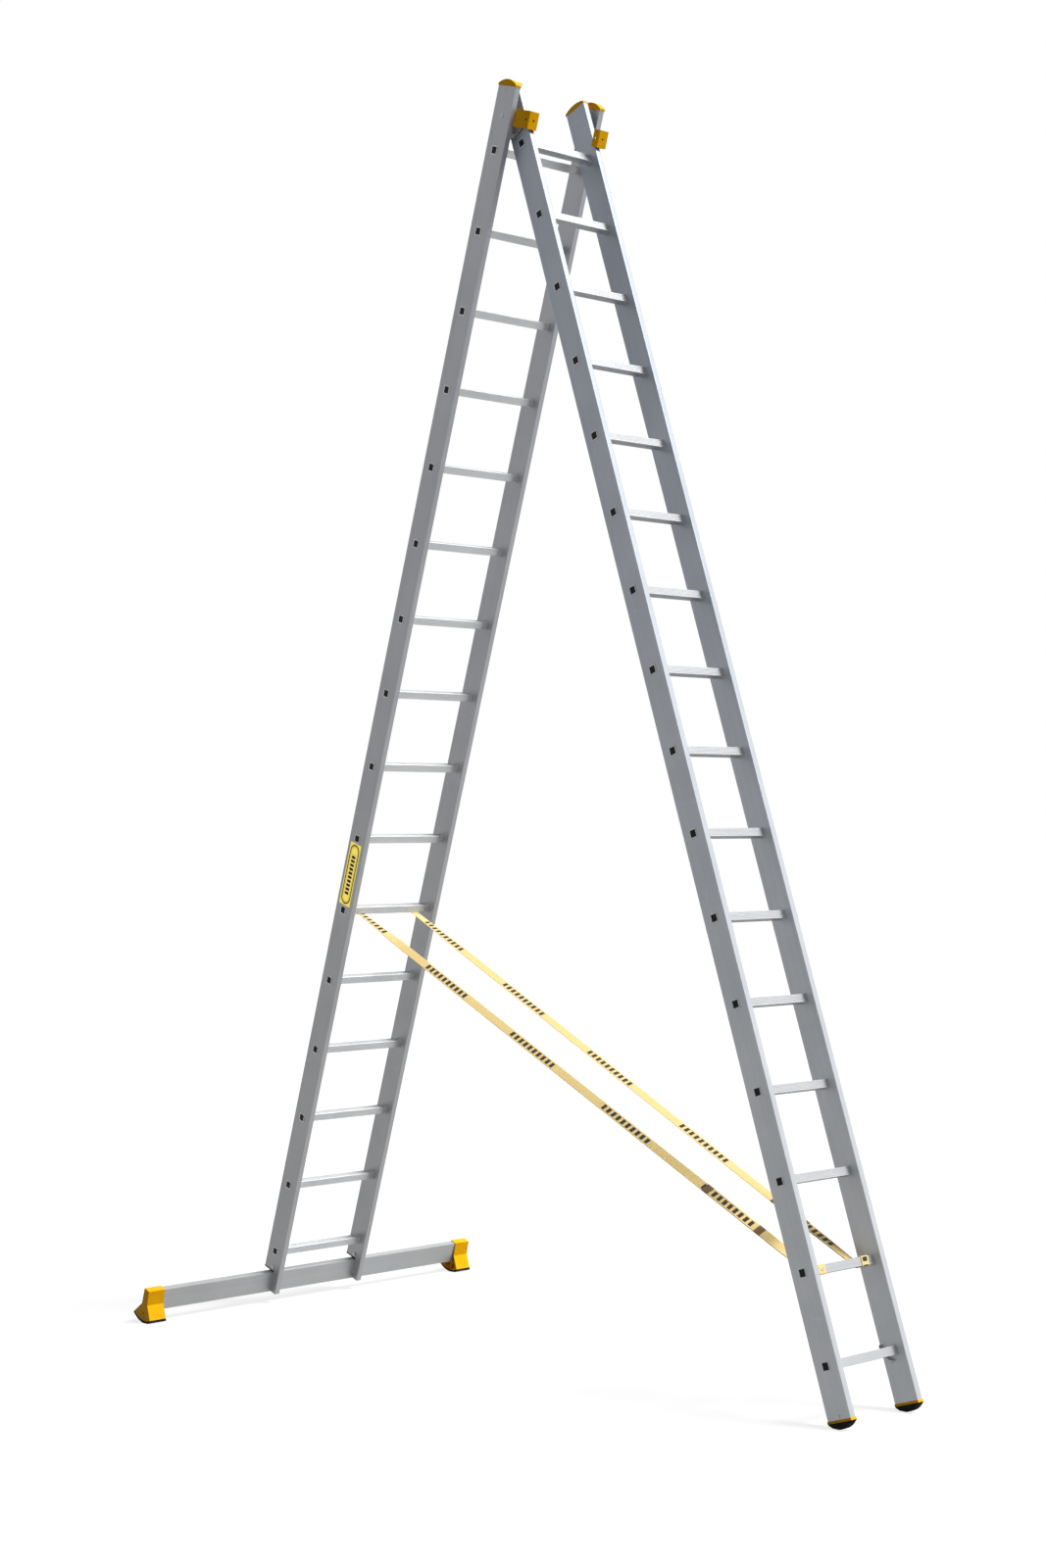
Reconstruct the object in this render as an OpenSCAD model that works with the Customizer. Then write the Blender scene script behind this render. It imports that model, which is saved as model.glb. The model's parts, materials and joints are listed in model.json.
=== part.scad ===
/* [Sections] */
// Distance between the centres of two rungs
rung_pitch = 280; // [250:1:300]
// Rungs in each section
rung_count = 16; // [15:1:16]
// Outside width of the wide section
wide_width = 420; // [400:1:540]
// Depth of a stile, front to back
stile_depth = 95; // [84:1:120]
// Thickness of a stile, across the ladder
stile_thickness = 23; // [20:1:30]
// Wall of the stile extrusion
stile_wall = 1.6; // [1.2:0.1:2.4]
// Gap between a wide stile and the narrow stile beside it
stile_gap = 19.5; // [19:0.1:26]
// Wide stile above the centre of its top rung
wide_head = 219; // [200:1:260]
// Narrow stile above the centre of its top rung
narrow_head = 207; // [190:1:240]
// Wide stile below the centre of its bottom rung
wide_tail = 161; // [150:1:200]
// Narrow stile below the centre of its bottom rung
narrow_tail = 157; // [140:1:200]
// Angle between the two sections as they stand
opening_angle = 37; // [28:1:42]

/* [Rungs] */
// Side of the square rung
rung_size = 28; // [25:0.5:32]
// Wall of the rung tube under its ribs
rung_wall = 1.4; // [1:0.1:2.5]
// Depth of the grooves between the tread ribs
groove_depth = 0.8; // [0.4:0.1:1.2]
// Grooves on each side of a rung
groove_count = 5; // [3:1:6]
// How far the flared collar stands out round the rung
collar_lip = 1.5; // [0.8:0.1:3]

/* [Hinge] */
// Pivot ahead of the wide section's centre plane
pivot_front = 35; // [32:0.5:40]
// Pivot above the wide section's top rung
pivot_height = 60.4; // [55:0.1:70]
// How far the narrow rungs sit above the wide rungs when closed
closed_offset = 13.4; // [8:0.1:20]
// Thickness of a hinge plate
plate_thickness = 4; // [3:0.5:5]
// Radius of the pivot pin
pin_radius = 6; // [5:0.5:8]
// Radius of the shoulder studs
stud_radius = 5; // [4:0.5:6]

/* [Guides] */
// Height of a guide
guide_height = 60; // [50:1:80]
// Bottom of a guide above the wide section's top rung
guide_bottom = 89; // [84:1:100]
// Thickness of a guide's wall
guide_wall = 4; // [3:0.5:5]
// Room between a guide and the closed narrow section
guide_room = 5.5; // [5:0.5:10]

/* [Stabiliser] */
// Length over the two end feet
stabiliser_length = 1550; // [1100:10:1700]
// Height of the stabiliser bar
bar_height = 80; // [60:1:90]
// Depth of the stabiliser bar, front to back
bar_depth = 25; // [22:1:28]
// Wall of the stabiliser bar
bar_wall = 2; // [1.5:0.1:3]
// Length of an end foot along the bar
foot_length = 70; // [55:1:90]
// Wall of an end foot
foot_wall = 3; // [2.4:0.1:4]
// Radius of the rocker sole
sole_radius = 109.5; // [108:0.5:116]
// Thickness of the rocker sole
sole_thickness = 9; // [7:0.5:11]

/* [Feet] */
// Thickness of the flange under a narrow stile
flange_thickness = 8; // [6:0.5:12]
// How far the rubber pad hangs below its flange
pad_drop = 21; // [16:0.5:26]

/* [Straps] */
// Width of the webbing
strap_width = 32; // [25:1:40]
// Thickness of the webbing
strap_thickness = 2; // [1.5:0.1:3]

/* [Hidden] */
round_fn = 48;
small_gap = 0.3;
fit_gap = 0.1;
running_gap = 0.08;
two_sides = [-1, 1];
flat_depth = 1;
floor_reach = 8000;
aluminium = "#aeb0b3";
amber = "#f6a900";
rubber_black = "#1b1b1c";
zinc = "#9a9c9f";
webbing_yellow = "#f2d98c";
label_yellow = "#f7d33c";

// Heights along a stile, counted up from its top rung
bottom_rung = -rung_pitch * (rung_count - 1);
notch_drop = 78;
notch_height = bottom_rung - notch_drop;
tongue_end = bottom_rung - wide_tail;
narrow_end = bottom_rung - narrow_tail;
end_flange = 5.5;

// Across the ladder
wide_outer = wide_width / 2;
wide_inner = wide_outer - stile_thickness;
narrow_outer = wide_inner - stile_gap;
narrow_inner = narrow_outer - stile_thickness;

// Stile section: a box with two webs just outside the rungs
web_inner = rung_size / 2 + 0.4;
stile_corner = 3;
chamber_width = stile_thickness - 2 * stile_wall;
window_size = rung_size + 2 * fit_gap;
rib_core = rung_size / 2 - groove_depth - rung_wall;
groove_width = 2.2;
groove_pitch = 4.4;
rung_chamfer = 1.2;
collar_thickness = 1.2;
collar_size = rung_size + 2 * collar_lip;
bead_thickness = 2;
bead_size = rung_size + 4;
plug_length = 16;
plug_recess = 0.6;
plug_wall = 2;

// Closed position of the narrow section, seen from the wide one
back_room = 3.5;
closed_spacing = stile_depth / 2 + rung_size / 2 + back_room;
narrow_pivot = [pivot_front - closed_spacing, pivot_height - closed_offset];
wide_pivot = [pivot_front, pivot_height];

// Guide
guide_front = closed_spacing + stile_depth / 2 + guide_room;
guide_end = guide_front + guide_wall;
guide_tail = -16;
guide_lap = narrow_inner - 1.2;
guide_return = guide_front - 22;
guide_bolt = [4, guide_bottom + 29];
guide_hole = [guide_front - 10.5, guide_bottom + guide_height / 2];
guide_hole_radius = 4;
guide_middle = (guide_lap + wide_inner) / 2 - 2;
guide_rivet_inset = 14;
guide_rivets = [[34, guide_bottom + guide_rivet_inset], [34, guide_bottom + guide_height - guide_rivet_inset]];
guide_rivet_radius = 2.4;
bolt_radius = 4;
bolt_head_radius = 7;
nut_radius = 7.4;
guide_corner = 4;
guide_inner_corner = 8;
pad_thickness = 3;
pad_inset = 4;
peg_recess = 1;

// Hinge plate, its pin and the studs that drop into it
plate_room = 3.5;
plate_inner = narrow_outer + plate_room;
plate_outer = plate_inner + plate_thickness;
stud_places = [[-2, pivot_height + 2], [34, pivot_height + 2]];
slot_radius = stud_radius + 0.2;
plate_top = stud_places[0][1] + 22;
plate_edge = slot_radius + 7;
plate_boss = 15;
pin_shoulder_radius = 11;
pin_head_radius = 10;
stud_head_radius = 8;
stud_head = 2.2;

// Stabiliser
bar_front = web_inner;
bar_top = notch_height - end_flange - 0.5;
foot_outer = stabiliser_length / 2;
foot_inner = foot_outer - foot_length;
bar_end = foot_outer - foot_wall - small_gap;
sole_offset = [-20.5, -17.4];
sole_centre = [bar_front + sole_offset[0], bar_top + sole_offset[1]];
foot_radius = sole_radius - sole_thickness;
sole_angles = [-116.9, -52.2];
sole_steps = 28;
foot_toe = [8, -51];
foot_heel = -58;
foot_hole = [-7.5, -88.7];
foot_hole_radius = 4;
foot_rib_places = [-42, -6, 20];
bar_bolts = [bar_top - bar_height * 0.25, bar_top - bar_height * 0.75];
side_bolt = [4, notch_height + 14];

// Pads of the narrow section
pad_half = stile_depth / 2 + 1.5;
pad_radius = (pad_half * pad_half + pad_drop * pad_drop) / (2 * pad_drop);
pad_top = narrow_end - flange_thickness;
pad_centre = [0, pad_top - pad_drop + pad_radius];
foot_screw = [3, narrow_end + 9];
foot_screw_radius = 2;
stem_half = 15;
stem_width = 12;
stem_rise = 5;

// Curved catch on the inner face of each narrow stile at its bottom rung
catch_centre = [8, bottom_rung + 18];
catch_radius = 50;
catch_wall = 3;
catch_proud = 12;
catch_flange = 11;
catch_rivets = arc_points(catch_centre, catch_radius + catch_flange / 2, 212, 237, 1);
thin_rivet_radius = 1.6;

// Caps
wide_cap_rise = 23;
narrow_cap_rise = 17.5;
cap_rim = 6.5;
cap_lip = 1;
cap_rivet = [-6, wide_head - 14];
spigot_depth = 2 * web_inner - 0.6;
spigot_width = chamber_width - 0.6;

// Label between two rungs of the near wide stile
label_size = [65, 240];
label_thickness = 0.3;
label_rung = 10;

// Straps: the rung each end goes round and its place across the ladder
strap_wide_rung = 11;
strap_narrow_rung = 15;
strap_places = [[-136, -95], [126, 105]];

// The lean at which the soles and the pads reach one floor
sole_arm = sole_centre - wide_pivot;
pad_arm = pad_centre - narrow_pivot;
lean_cos = sole_arm[1] - pad_arm[0] * sin(opening_angle) - pad_arm[1] * cos(opening_angle);
lean_sin = -sole_arm[0] + pad_arm[0] * cos(opening_angle) - pad_arm[1] * sin(opening_angle);
wide_lean = atan2(lean_sin, lean_cos) - acos((sole_radius - pad_radius) / norm([lean_cos, lean_sin]));
narrow_lean = opening_angle - wide_lean;
pivot_z = sole_radius - flat_depth + sole_arm[0] * sin(wide_lean) - sole_arm[1] * cos(wide_lean);

// The origin is under the middle of the whole ladder
back_toe = sole_centre + sole_radius * [cos(sole_angles[0]), sin(sole_angles[0])] - wide_pivot;
front_toe = [pad_half, pad_top] - narrow_pivot;
back_reach = back_toe[0] * cos(wide_lean) + back_toe[1] * sin(wide_lean);
front_reach = front_toe[0] * cos(narrow_lean) - front_toe[1] * sin(narrow_lean);
pivot_x = -(back_reach + front_reach) / 2;

function two_digits(k) = k < 10 ? str("0", k) : str(k);
function rung_name(section, k) = str(section, "_rung_", two_digits(k));
function rung_height(k) = -rung_pitch * (k - 1);
function arc_points(centre, radius, from, to, steps) =
    [for (i = [0:steps]) let (a = from + (to - from) * i / steps) centre + radius * [cos(a), sin(a)]];
function quarter_turns(p, k) = k == 0 ? p : quarter_turns([p[1], -p[0]], k - 1);
function wide_point(d, s) = [
    pivot_x + (d - wide_pivot[0]) * cos(wide_lean) + (s - wide_pivot[1]) * sin(wide_lean),
    pivot_z - (d - wide_pivot[0]) * sin(wide_lean) + (s - wide_pivot[1]) * cos(wide_lean)];
function narrow_point(d, s) = [
    pivot_x + (d - narrow_pivot[0]) * cos(narrow_lean) - (s - narrow_pivot[1]) * sin(narrow_lean),
    pivot_z + (d - narrow_pivot[0]) * sin(narrow_lean) + (s - narrow_pivot[1]) * cos(narrow_lean)];

// Section frames: x is depth towards the front, z runs up the stiles from the top rung
module in_wide() {
    translate([pivot_x, 0, pivot_z]) rotate([0, wide_lean, 0])
        translate([-wide_pivot[0], 0, -wide_pivot[1]]) children();
}

module in_narrow() {
    translate([pivot_x, 0, pivot_z]) rotate([0, -narrow_lean, 0])
        translate([-narrow_pivot[0], 0, -narrow_pivot[1]]) children();
}

// Parts are drawn at +Y and mirrored for the left side
module on_side(side) {
    if (side > 0) children();
    else mirror([0, 1, 0]) children();
}

module on_both_sides() {
    for (side = two_sides) on_side(side) children();
}

// A flat shape in depth and height, made solid from y = low to y = high
module across(low, high) {
    translate([0, high, 0]) rotate([90, 0, 0]) linear_extrude(high - low) children();
}

module round_across(place, radius, low, high) {
    translate([place[0], high, place[1]]) rotate([90, 0, 0])
        cylinder(h = high - low, r = radius, $fn = round_fn);
}

module hex_across(place, radius, low, high) {
    translate([place[0], high, place[1]]) rotate([90, 0, 0])
        cylinder(h = high - low, r = radius, $fn = 6);
}

module round_forward(from, to, y, s, radius) {
    translate([from, y, s]) rotate([0, 90, 0]) cylinder(h = to - from, r = radius, $fn = round_fn);
}

module box_between(low, high) {
    translate(low) cube(high - low);
}

module above_floor() {
    difference() {
        children();
        translate([-floor_reach / 2, -floor_reach / 2, -floor_reach]) cube(floor_reach);
    }
}

module stile_profile() {
    half = [stile_depth / 2, stile_thickness / 2];
    inset = half - [stile_corner, stile_corner];
    corners = [[1, 1, 0], [-1, 1, 90], [-1, -1, 180], [1, -1, 270]];
    chamber = chamber_width / 2;
    difference() {
        polygon([for (c = corners) each
            arc_points([c[0] * inset[0], c[1] * inset[1]], stile_corner, c[2], c[2] + 90, 5)]);
        translate([-web_inner, -chamber]) square([2 * web_inner, chamber_width]);
        for (side = two_sides) scale([side, 1])
            translate([web_inner + stile_wall, -chamber])
                square([half[0] - web_inner - 2 * stile_wall, chamber_width]);
    }
}

module stile_bar(outer, low, high) {
    translate([0, outer - stile_thickness / 2, low]) linear_extrude(high - low) stile_profile();
}

module rung_windows(outer) {
    for (k = [1:rung_count])
        box_between([-window_size / 2, outer - stile_thickness - 1, rung_height(k) - window_size / 2],
                    [window_size / 2, outer + 1, rung_height(k) + window_size / 2]);
}

module wide_stile() {
    color(aluminium) in_wide() difference() {
        stile_bar(wide_outer, tongue_end, wide_head);
        rung_windows(wide_outer);
        box_between([-stile_depth, wide_inner - 1, tongue_end - 1], [web_inner, wide_outer + 1, notch_height]);
        round_across(guide_bolt, bolt_radius + fit_gap, wide_inner - 1, wide_outer + 1);
        round_across(wide_pivot, pin_radius + fit_gap, wide_inner - 1, wide_inner + stile_wall + 1);
        round_across(side_bolt, bolt_radius + fit_gap, wide_inner - 1, wide_outer + 1);
        round_across(cap_rivet, thin_rivet_radius + fit_gap, wide_outer - stile_wall - 1, wide_outer + 1);
        for (place = guide_rivets)
            round_across(place, guide_rivet_radius + fit_gap, wide_inner - 1, wide_inner + stile_wall + 1);
        for (s = bar_bolts)
            round_forward(web_inner - 1, web_inner + stile_wall + 1, wide_outer - stile_thickness / 2, s,
                          bolt_radius + fit_gap);
    }
}

module narrow_stile() {
    color(aluminium) in_narrow() difference() {
        stile_bar(narrow_outer, narrow_end, narrow_head);
        rung_windows(narrow_outer);
        for (place = stud_places)
            round_across(place, stud_radius + fit_gap, narrow_outer - stile_wall - 1, narrow_outer + 1);
        for (place = catch_rivets)
            round_across(place, thin_rivet_radius + fit_gap, narrow_inner - 1, narrow_inner + stile_wall + 1);
        round_across(foot_screw, foot_screw_radius + fit_gap, narrow_outer - stile_wall - 1, narrow_outer + 1);
    }
}

module rung_profile() {
    half = rung_size / 2;
    spread = [for (i = [0:groove_count - 1]) (i - (groove_count - 1) / 2) * groove_pitch];
    polygon([for (k = [0:3]) each
        [for (p = concat([[-half + rung_chamfer, half]],
                         [for (c = spread) each [
                             [c - groove_width / 2, half],
                             [c - groove_width / 2, half - groove_depth],
                             [c + groove_width / 2, half - groove_depth],
                             [c + groove_width / 2, half]]],
                         [[half - rung_chamfer, half]])) quarter_turns(p, k)]]);
}

module rung_tube(outer) {
    inner = outer - stile_thickness;
    bore = 2 * rib_core;
    difference() {
        union() {
            across(-outer - collar_thickness, outer + collar_thickness) rung_profile();
            on_both_sides() {
                across(outer, outer + collar_thickness) square(collar_size, center = true);
                across(inner - bead_thickness, inner) square(bead_size, center = true);
            }
        }
        across(-outer - 5, outer + 5) square(bore, center = true);
    }
}

module wide_rung(k) {
    color(aluminium) in_wide() translate([0, 0, rung_height(k)]) rung_tube(wide_outer);
}

module narrow_rung(k) {
    color(aluminium) in_narrow() translate([0, 0, rung_height(k)]) rung_tube(narrow_outer);
}

// Hollow plugs that close the open ends of the rungs
module rung_plugs(outer) {
    face = outer + collar_thickness - plug_recess;
    side = 2 * (rib_core - fit_gap);
    for (k = [1:rung_count]) translate([0, 0, rung_height(k)]) on_both_sides() difference() {
        across(face - plug_length, face) square(side, center = true);
        across(face - plug_length - 1, face - plug_wall) square(side - 2 * plug_wall, center = true);
    }
}

module wide_rung_plugs() {
    color(rubber_black) in_wide() rung_plugs(wide_outer);
}

module narrow_rung_plugs() {
    color(rubber_black) in_narrow() rung_plugs(narrow_outer);
}

// A cap on the end of a stile: a straight rim, a dome on it and a hollow spigot in the middle chamber
module top_cap(outer, head, rise) {
    half = stile_depth / 2 + cap_lip;
    dome = rise - cap_rim;
    radius = (half * half + dome * dome) / (2 * dome);
    edge = asin(half / radius);
    difference() {
        union() {
            across(outer - stile_thickness - cap_lip, outer + cap_lip)
                polygon(concat(arc_points([0, head + rise - radius], radius, 90 - edge, 90 + edge, 30),
                               [[-half, head], [half, head]]));
            box_between([-spigot_depth / 2, outer - (stile_thickness + spigot_width) / 2, head - 25],
                        [spigot_depth / 2, outer - (stile_thickness - spigot_width) / 2, head + 1]);
        }
        box_between([-spigot_depth / 2 + 5, outer - (stile_thickness + spigot_width) / 2 + 2.5, head - 26],
                    [spigot_depth / 2 - 5, outer - (stile_thickness - spigot_width) / 2 - 2.5, head - 2]);
        children();
    }
}

module wide_top_caps() {
    color(amber) in_wide() on_both_sides() top_cap(wide_outer, wide_head, wide_cap_rise)
        round_across(cap_rivet, thin_rivet_radius + fit_gap, wide_outer - 8, wide_outer + 1);
}

module narrow_top_caps() {
    color(amber) in_narrow() on_both_sides() top_cap(narrow_outer, narrow_head, narrow_cap_rise);
}

// J-shaped guide: one leg on the wide stile, the other hooked round the narrow stile's front
module guide_profile() {
    outer_turn = arc_points([guide_end - guide_corner, wide_inner - guide_corner], guide_corner, 90, 0, 5);
    inner_turn = arc_points([guide_end - guide_inner_corner, guide_lap - guide_wall + guide_inner_corner],
                            guide_inner_corner, 0, -90, 7);
    polygon(concat([[guide_tail, wide_inner]], outer_turn, inner_turn,
                   [[guide_return, guide_lap - guide_wall], [guide_return, guide_lap],
                    [guide_front, guide_lap], [guide_front, wide_inner - guide_wall],
                    [guide_tail, wide_inner - guide_wall]]));
}

module guide() {
    color(amber) in_wide() difference() {
        translate([0, 0, guide_bottom]) linear_extrude(guide_height) guide_profile();
        round_across(guide_hole, guide_hole_radius, guide_lap - guide_wall - 1, wide_inner + 1);
        round_forward(guide_front - 1, guide_end + 1, guide_middle, guide_hole[1], guide_hole_radius);
        round_across(guide_bolt, bolt_radius + fit_gap, wide_inner - guide_wall - 1, wide_inner + 1);
        for (place = guide_rivets)
            round_across(place, guide_rivet_radius + fit_gap, wide_inner - guide_wall - 1, wide_inner + 1);
    }
}

// Bolt through the wide stile with a sleeve inside it and a nut behind the guide
module guide_bolt_set() {
    leg = wide_inner - guide_wall;
    nut = 4.4;
    union() {
        round_across(guide_bolt, bolt_radius, leg - nut, wide_outer + 0.1);
        round_across(guide_bolt, bolt_head_radius, wide_outer, wide_outer + 1.6);
    }
    difference() {
        hex_across(guide_bolt, nut_radius, leg - nut, leg);
        round_across(guide_bolt, bolt_radius, leg - nut - 1, leg + 1);
    }
    difference() {
        round_across(guide_bolt, 6, wide_inner + stile_wall, wide_outer - stile_wall);
        round_across(guide_bolt, bolt_radius + fit_gap, wide_inner, wide_outer);
    }
}

module guide_bolts() {
    color(zinc) in_wide() on_both_sides() guide_bolt_set();
}

// Turned pin, riveted inside the wide stile, that carries a hinge plate
module hinge_pins() {
    color(zinc) in_wide() on_both_sides() union() {
        round_across(wide_pivot, pin_head_radius, wide_inner + stile_wall, wide_inner + stile_wall + 3);
        round_across(wide_pivot, pin_radius, plate_inner - 1, wide_inner + stile_wall + 1);
        round_across(wide_pivot, pin_shoulder_radius, plate_outer + small_gap, wide_inner);
        round_across(wide_pivot, pin_head_radius, plate_inner - small_gap - 2, plate_inner - small_gap);
    }
}

module hinge_plate() {
    rear = stud_places[0] - [plate_edge, plate_edge];
    front = stud_places[1] + [plate_edge, -plate_edge];
    outline = [narrow_pivot + [-plate_boss / 2, -plate_boss * 0.8], narrow_pivot + [0, -plate_boss],
               front, [front[0], plate_top], [rear[0], plate_top], narrow_pivot + plate_boss * [-0.7, 0.7]];
    color(zinc) in_narrow() across(plate_inner, plate_outer) difference() {
        union() {
            polygon(outline);
            translate(narrow_pivot) circle(plate_boss, $fn = round_fn);
        }
        translate(narrow_pivot) circle(pin_radius + running_gap, $fn = round_fn);
        for (place = stud_places) {
            translate(place) circle(slot_radius, $fn = round_fn);
            translate([place[0] - slot_radius, place[1]]) square([2 * slot_radius, plate_top]);
        }
    }
}

// Shouldered studs on the narrow stiles that rest in the slots of the hinge plates
module shoulder_studs() {
    color(zinc) in_narrow() on_both_sides() for (place = stud_places) union() {
        round_across(place, stud_head_radius, narrow_outer - stile_wall - 3, narrow_outer - stile_wall);
        round_across(place, stud_radius, narrow_outer - stile_wall - 1, plate_outer + small_gap + 1);
        round_across(place, stud_radius + 2, narrow_outer, plate_inner - small_gap);
        round_across(place, stud_head_radius, plate_outer + small_gap, plate_outer + small_gap + stud_head);
    }
}

module stabiliser_bar() {
    color(aluminium) in_wide() difference() {
        box_between([bar_front - bar_depth, -bar_end, bar_top - bar_height], [bar_front, bar_end, bar_top]);
        box_between([bar_front - bar_depth + bar_wall, -bar_end - 1, bar_top - bar_height + bar_wall],
                    [bar_front - bar_wall, bar_end + 1, bar_top - bar_wall]);
        on_both_sides() for (s = bar_bolts)
            round_forward(bar_front - bar_depth - 1, bar_front + 1, wide_outer - stile_thickness / 2, s,
                          bolt_radius + fit_gap);
    }
}

// Outline of an end foot, relative to the top front edge of the bar
module foot_outline() {
    back = -bar_depth - foot_wall;
    translate([bar_front, bar_top]) polygon(concat(
        [[back, foot_wall], [foot_wall, foot_wall], foot_toe],
        arc_points(sole_offset, foot_radius, sole_angles[1], sole_angles[0], sole_steps),
        [[back, foot_heel]]));
}

module foot_cavity() {
    back = -bar_depth - small_gap;
    floor_radius = foot_radius - foot_wall;
    translate([bar_front, bar_top]) polygon(concat(
        [[back, small_gap], [small_gap, small_gap], foot_toe - [foot_wall, 0]],
        arc_points(sole_offset, floor_radius, sole_angles[1] - 3, sole_angles[0] + 2, sole_steps),
        [[back, foot_heel - foot_wall]]));
}

module foot_ribs() {
    bar_bottom = -bar_height - small_gap;
    translate([bar_front, bar_top]) {
        translate([-foot_radius, bar_bottom - foot_wall]) square([2 * foot_radius, foot_wall]);
        for (x = foot_rib_places)
            translate([x, -2 * foot_radius]) square([foot_wall, 2 * foot_radius + bar_bottom]);
    }
}

// Moulded foot: closed outside, open and ribbed towards the ladder
module stabiliser_foot() {
    color(amber) in_wide() difference() {
        union() {
            across(foot_inner, foot_outer) difference() {
                foot_outline();
                foot_cavity();
            }
            across(foot_outer - foot_wall, foot_outer) foot_outline();
            across(foot_inner + 3, foot_outer - 1) intersection() {
                foot_cavity();
                foot_ribs();
            }
        }
        round_across([bar_front, bar_top] + foot_hole, foot_hole_radius,
                     foot_outer - foot_wall - 1, foot_outer + 1);
    }
}

module sole_profile() {
    groove_angles = [for (a = [sole_angles[0] + 4 : 5 : -84]) a];
    difference() {
        polygon(concat(
            arc_points(sole_centre, sole_radius, sole_angles[0], sole_angles[1], sole_steps),
            arc_points(sole_centre, foot_radius, sole_angles[1], sole_angles[0], sole_steps)));
        for (a = groove_angles)
            translate(sole_centre) rotate(a) translate([sole_radius - 1.5, -1.2]) square([5, 2.4]);
    }
}

module stabiliser_soles() {
    color(rubber_black) above_floor() in_wide() on_both_sides()
        across(foot_inner, foot_outer) sole_profile();
}

// Two bolts clamp the bar to each tongue and one crosses each stile above it
module bar_bolt_set() {
    centre = wide_outer - stile_thickness / 2;
    back = bar_front - bar_depth;
    nut_seat = web_inner + stile_wall;
    for (s = bar_bolts) {
        union() {
            round_forward(back, nut_seat + 8, centre, s, bolt_radius);
            translate([back - 5.3, centre, s]) rotate([0, 90, 0]) cylinder(h = 5.3, r = nut_radius, $fn = 6);
        }
        difference() {
            translate([nut_seat, centre, s]) rotate([0, 90, 0]) cylinder(h = 6.5, r = nut_radius, $fn = 6);
            round_forward(nut_seat - 1, nut_seat + 8, centre, s, bolt_radius);
        }
    }
    union() {
        round_across(side_bolt, bolt_radius, wide_inner - 5, wide_outer + 0.1);
        round_across(side_bolt, bolt_head_radius, wide_outer, wide_outer + 2);
    }
    difference() {
        hex_across(side_bolt, nut_radius, wide_inner - 5, wide_inner);
        round_across(side_bolt, bolt_radius, wide_inner - 6, wide_inner + 1);
    }
}

module stabiliser_bolts() {
    color(zinc) in_wide() on_both_sides() bar_bolt_set();
}

// Slide pads inside a guide, held by pegs in its two holes
module guide_pads() {
    leg = wide_inner - guide_wall;
    peg = guide_hole_radius - fit_gap;
    bottom = guide_bottom + pad_inset;
    top = guide_bottom + guide_height - pad_inset;
    union() {
        box_between([guide_front - pad_thickness, guide_lap + pad_inset, bottom],
                    [guide_front, leg - pad_thickness - pad_inset, top]);
        round_forward(guide_front - 1, guide_end - peg_recess, guide_middle, guide_hole[1], peg);
    }
    union() {
        box_between([guide_return, leg - pad_thickness, bottom],
                    [guide_front - pad_thickness - pad_inset, leg, top]);
        round_across(guide_hole, peg, leg - 1, wide_inner - peg_recess);
    }
}

// Plugs in the cut ends of the wide stiles, whose flanges bear on the bar, and the pads of the guides
module end_plugs_and_guide_pads() {
    low = wide_outer - (stile_thickness + spigot_width) / 2;
    color(rubber_black) in_wide() on_both_sides() difference() {
        union() {
            box_between([-stile_depth / 2, wide_inner, notch_height - end_flange],
                        [web_inner, wide_outer, notch_height]);
            box_between([-spigot_depth / 2, low, notch_height - 1],
                        [spigot_depth / 2, low + spigot_width, notch_height + 32]);
        }
        round_across(side_bolt, bolt_radius + fit_gap, wide_inner - 1, wide_outer + 1);
    }
    color(rubber_black) in_wide() on_both_sides() guide_pads();
}

// Rivets of the caps and the guides on the wide section
module wide_rivets() {
    leg = wide_inner - guide_wall;
    color(zinc) in_wide() on_both_sides() {
        union() {
            round_across(cap_rivet, thin_rivet_radius, wide_outer - 6, wide_outer + 0.5);
            round_across(cap_rivet, 3.2, wide_outer, wide_outer + 1);
        }
        for (place = guide_rivets) union() {
            round_across(place, 4.6, leg - 1.2, leg);
            round_across(place, guide_rivet_radius, leg - 1, wide_inner + stile_wall + 1);
            round_across(place, 3.6, wide_inner + stile_wall, wide_inner + stile_wall + 4);
        }
    }
}

module label_plate() {
    middle = (rung_height(label_rung) + rung_height(label_rung + 1)) / 2;
    color(label_yellow) in_wide()
        box_between([-label_size[0] / 2, -wide_outer - label_thickness, middle - label_size[1] / 2],
                    [label_size[0] / 2, -wide_outer, middle + label_size[1] / 2]);
}

// Flange with a spigot in the stile and a pocket for the pad's stem
module narrow_foot_flanges() {
    centre = narrow_outer - stile_thickness / 2;
    half = stile_depth / 2 + cap_lip;
    color(amber) in_narrow() on_both_sides() difference() {
        union() {
            box_between([-half, narrow_inner - cap_lip, pad_top], [half, narrow_outer + cap_lip, narrow_end]);
            box_between([-spigot_depth / 2, centre - spigot_width / 2, narrow_end - 1],
                        [spigot_depth / 2, centre + spigot_width / 2, narrow_end + 40]);
        }
        box_between([-spigot_depth / 2 + 3, centre - 3, narrow_end + 16],
                    [spigot_depth / 2 - 3, centre + 3, narrow_end + 41]);
        box_between([-stem_half - fit_gap, centre - stem_width / 2 - fit_gap, pad_top - 1],
                    [stem_half + fit_gap, centre + stem_width / 2 + fit_gap, pad_top + stem_rise + fit_gap]);
        round_across(foot_screw, foot_screw_radius + fit_gap, narrow_outer - 12, narrow_outer + 1);
    }
}

module pad_profile() {
    edge = asin(pad_half / pad_radius);
    flat_angle = -90 - narrow_lean;
    difference() {
        polygon(arc_points(pad_centre, pad_radius, -90 - edge, -90 + edge, 30));
        for (a = [-90 - edge + 3 : 5 : -90 + edge - 2]) if (abs(a - flat_angle) > 12)
            translate(pad_centre) rotate(a) translate([pad_radius - 2, -1.3]) square([6, 2.6]);
    }
}

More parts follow.
